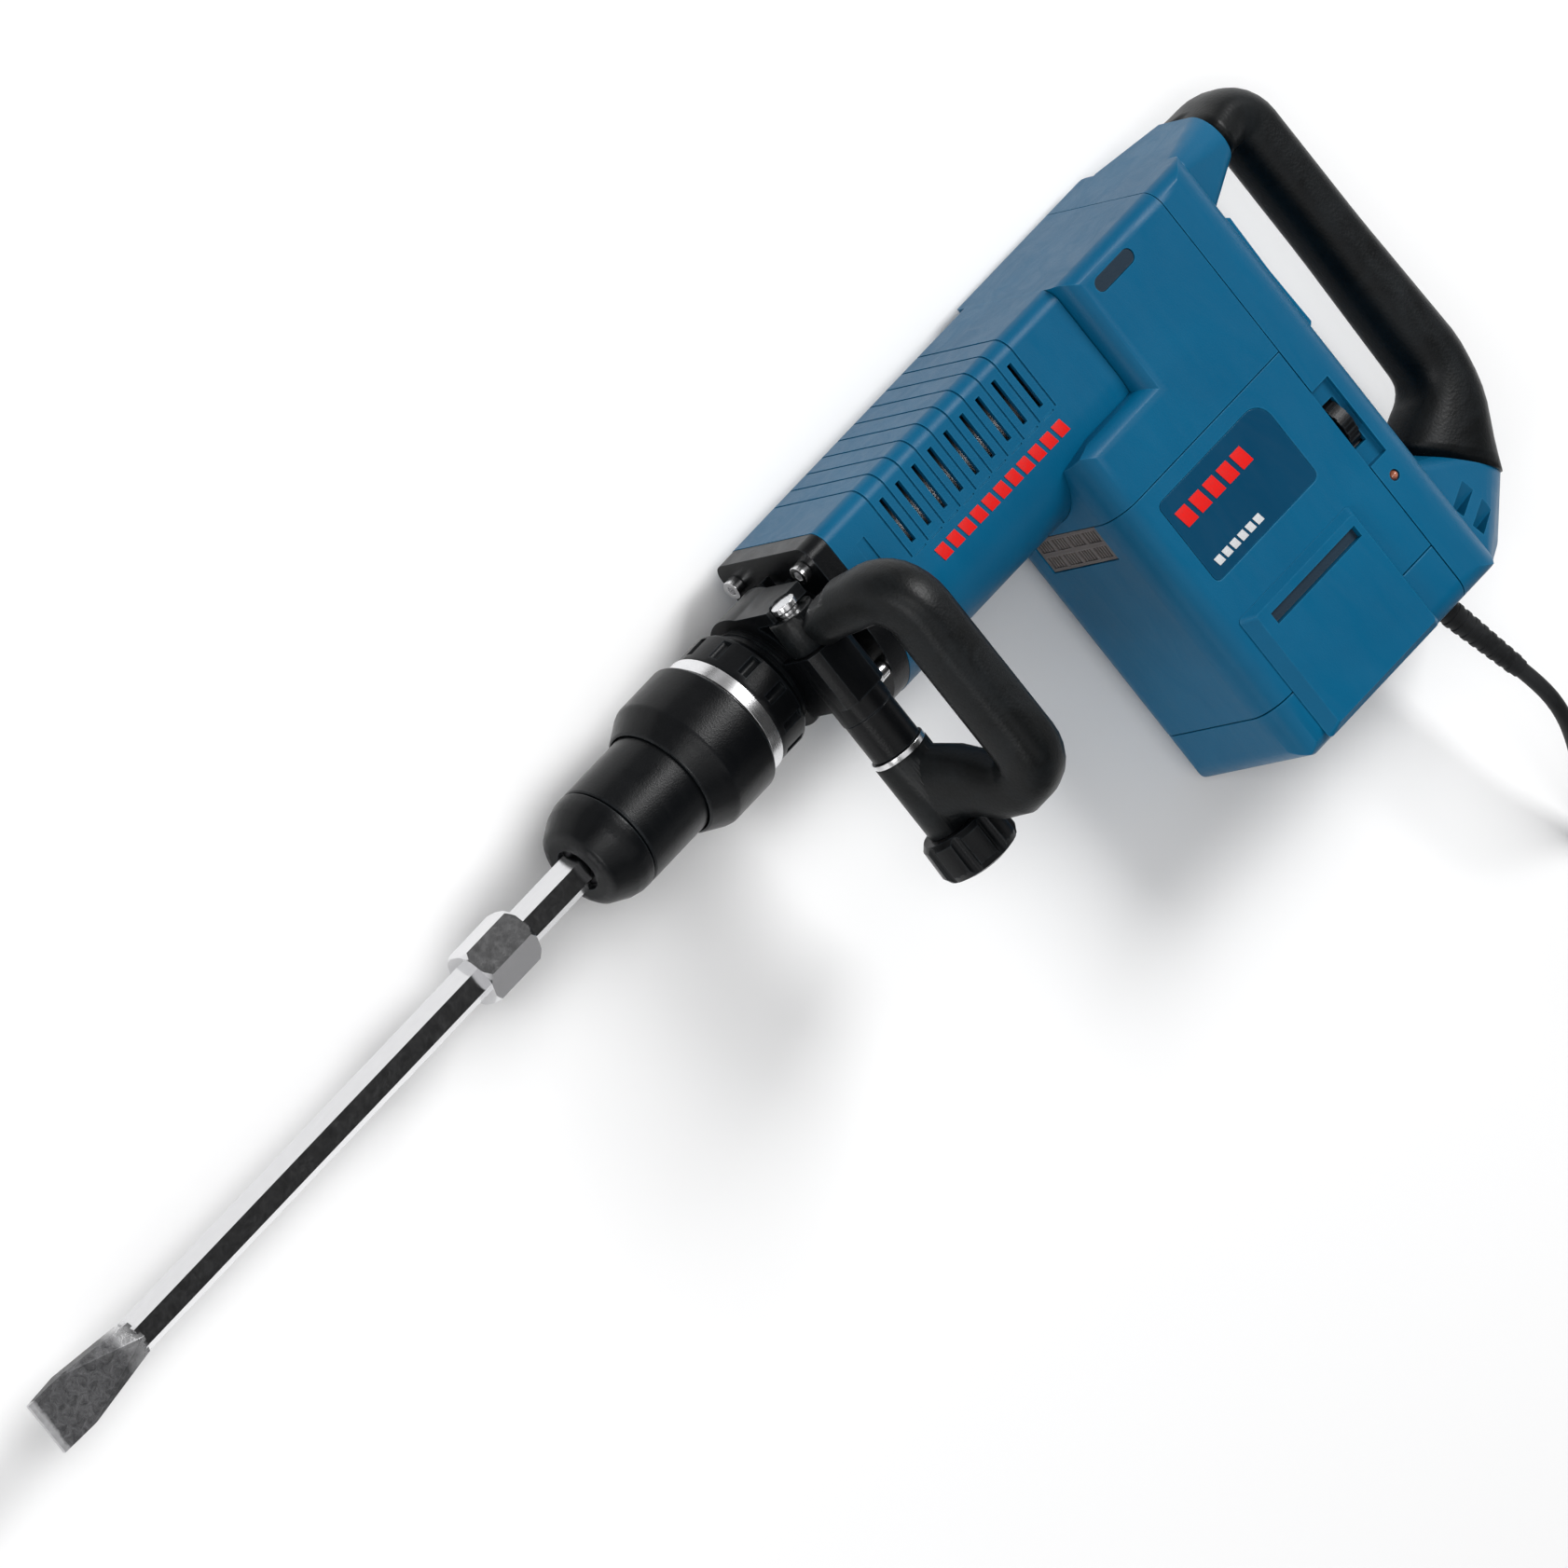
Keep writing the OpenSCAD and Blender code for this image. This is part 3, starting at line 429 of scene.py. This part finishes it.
RED = printed("red_print", srgb(222, 16, 10))
SILVER = printed("silver_print", srgb(206, 208, 210))
ALLOY = cast("cast_alloy", (0.55, 0.56, 0.58))
IRON = cast("motor_iron", (0.36, 0.27, 0.2), 0.8, 0.5)
BRASS = cast("pressed_brass", (0.75, 0.56, 0.24), 1.0, 0.32)
CARBON = cast("carbon_block", (0.05, 0.05, 0.055), 0.3, 0.6)
BOARD = moulded("circuit_board", srgb(28, 84, 46), srgb(22, 70, 38), srgb(70, 130, 90), 0.35, 0.6, 0.4)


def lamp_lens():
    m = Tree("lamp_lens")
    swirl = m.noise(300, 3, 0.5)
    m.set(color=m.mix(m.ramp(swirl, 0.3, 0.7), srgb(120, 62, 40), srgb(178, 108, 78)), rough=m.ramp(swirl, 0.3, 0.7, 0.12, 0.2),
          coat=0.8, coat_rough=0.05)
    m.bump([(m.cells(500), 0.3, 0.0003)])
    return m.mat


def woven():
    """Woven tape for the cable tie."""
    m = Tree("woven_tape")
    warp = m.node("TexWave", {"Vector": m.pos, "Scale": 320.0, "Distortion": 1.0, "Detail": 2.0}, bands_direction="X")
    weft = m.node("TexWave", {"Vector": m.pos, "Scale": 320.0, "Distortion": 1.0, "Detail": 2.0}, bands_direction="Y")
    weave = m.math("MAXIMUM", warp.outputs["Fac"], weft.outputs["Fac"])
    m.set(color=m.mix(m.ramp(weave, 0.2, 0.9), srgb(16, 17, 19), srgb(52, 54, 58)), rough=0.85)
    m.bump([(weave, 0.6, 0.0005)])
    return m.mat


LENS, TAPE = lamp_lens(), woven()
FINISH = {
    BLUE: "barrel_cover gear_housing motor_housing bottom_cap side_cover_left side_cover_right rear_housing",
    BLUE_SWITCH: "switch_paddle", BADGE: "name_badge", DARK: "recess_inserts", GREY: "vent_grille",
    BLACK: "neck_housing dust_cap locking_sleeve lock_collar index_ring clamp_collar leg_tube clamp_knob speed_wheel"
           " switch_module cooling_fan plug_body",
    GRIP: "rear_grip side_handle", SEAL: "strain_relief striker_ring piston_ring",
    RED: "badge_marks barrel_marks", SILVER: "model_marks", LENS: "service_lamp", TAPE: "coil_tie",
    BRIGHT: "flange_screws leg_washer locking_rollers sleeve_spring ball_bearings clamp_bolt plug_pins",
    RING: "steel_ring", CHISEL: "chisel",
    HARD: "holder_tube beat_piece striker connecting_rod wrist_pin crankshaft crank_gear motor_pinion cylinder_tube",
    ALLOY: "piston crankcase", IRON: "armature stator", BRASS: "brush_holders", CARBON: "carbon_brushes",
    BOARD: "speed_module", CABLE: "mains_cable cable_coil",
}
# Edge rounding in millimetres, and what isn't rounded
ROUND = {"chisel": 0.8, "vent_grille": 0.2, "badge_marks": 0, "barrel_marks": 0, "model_marks": 0,
         "name_badge": 0.15, "flange_screws": 0.35, "sleeve_spring": 0, "mains_cable": 0, "cable_coil": 0,
         "plug_pins": 0.5, "service_lamp": 0, "recess_inserts": 0.1, "rear_grip": 0, "side_handle": 0,
         "strain_relief": 0.5, "plug_body": 1.0, "side_cover_left": 0.6, "side_cover_right": 0.6,
         "crank_gear": 0.15, "motor_pinion": 0.1, "coil_tie": 0.4, "leg_washer": 0.4, "steel_ring": 0.5,
         "clamp_collar": 1.0, "clamp_knob": 1.0, "switch_paddle": 1.2, "index_ring": 0.7, "neck_housing": 0.8}
for material, names in FINISH.items():
    for name in names.split():
        obj = NODES[name]
        obj.data.materials.clear()
        obj.data.materials.append(material)
        if "custom_normal" in obj.data.attributes:
            obj.data.attributes.remove(obj.data.attributes["custom_normal"])
        shade_smooth(obj.data)
        modifier(obj, "WELD", merge_threshold=0.00002)
        width = ROUND.get(name, 0.6)
        if width:
            modifier(obj, "DECIMATE", decimate_type="DISSOLVE", angle_limit=math.radians(0.4))
            modifier(obj, "BEVEL", width=width / 1000, segments=2, limit_method="ANGLE",
                     angle_limit=math.radians(28), use_clamp_overlap=True, harden_normals=False)
        modifier(obj, "WEIGHTED_NORMAL", keep_sharp=False, weight=60)
lead.data.materials.append(CABLE)


# ---------------------------------------------------------------- light and floor
floor = new_mesh("floor", [(-40, -40, 0), (40, -40, 0), (40, 40, 0), (-40, 40, 0)], [(0, 1, 2, 3)])
fm = Tree("floor")
tone = fm.noise(2, 3, 0.5)
fm.set(color=fm.mix(tone, (0.88, 0.88, 0.88), (0.9, 0.9, 0.9)), rough=0.8)
floor.data.materials.append(fm.mat)

# A studio with a bright ceiling, grey walls and a dark band low on both sides, so that steel shows contrast
world = bpy.data.worlds.new("studio")
bpy.context.scene.world = world
world.use_nodes = True
wt = world.node_tree
sky = wt.nodes.new("ShaderNodeTexCoord").outputs["Generated"]
parts = wt.nodes.new("ShaderNodeSeparateXYZ")
wt.links.new(sky, parts.inputs[0])
bands = wt.nodes.new("ShaderNodeValToRGB")
wt.links.new(parts.outputs[2], bands.inputs[0])
stops = [(0.0, 0.05), (0.16, 0.05), (0.22, 0.7), (0.40, 0.75), (0.46, 0.06), (0.70, 0.05), (0.78, 1.0), (1.0, 1.0)]
ramp = bands.color_ramp
while len(ramp.elements) < len(stops):
    ramp.elements.new(0.5)
for element, (at, tone) in zip(ramp.elements, stops):
    element.position = at
    element.color = (tone, tone, tone * 1.01, 1)
# The chisel's top flat mirrors a dark flag above it
aim = wt.nodes.new("ShaderNodeVectorMath")
aim.operation = "DOT_PRODUCT"
aim.inputs[1].default_value = (-0.452, 0.265, 0.852)
wt.links.new(sky, aim.inputs[0])
flag = wt.nodes.new("ShaderNodeMapRange")
for socket, value in zip(flag.inputs[1:5], (0.86, 0.95, 1.0, 0.02)):
    socket.default_value = value
wt.links.new(aim.outputs["Value"], flag.inputs[0])
shade = wt.nodes.new("ShaderNodeVectorMath")
shade.operation = "SCALE"
wt.links.new(bands.outputs[0], shade.inputs[0])
wt.links.new(flag.outputs[0], shade.inputs["Scale"])
wt.links.new(shade.outputs[0], wt.nodes["Background"].inputs[0])
wt.nodes["Background"].inputs[1].default_value = 0.8


def area(name, place, aim, size, power, size_y=None):
    data = bpy.data.lights.new(name, "AREA")
    data.energy = power
    data.size = size
    if size_y:
        data.shape = "RECTANGLE"
        data.size_y = size_y
    obj = link(bpy.data.objects.new(name, data))
    obj.location = place
    obj.rotation_euler = (Vector(aim) - Vector(place)).to_track_quat("-Z", "Y").to_euler()
    obj.visible_camera = False


area("key", (-2.0, -0.9, 2.2), (0, 0, 0.05), 1.0, 72, 1.4)
area("fill", (2.4, -0.1, 1.3), (0, 0, 0.05), 1.0, 24)
area("top", (1.3, -0.9, 2.6), (0, 0, 0), 0.7, 18, 1.8)

scene = bpy.context.scene
scene.view_settings.view_transform = "Standard"
scene.view_settings.look = "None"
scene.view_settings.exposure = 0.0

bpy.context.view_layer.update()
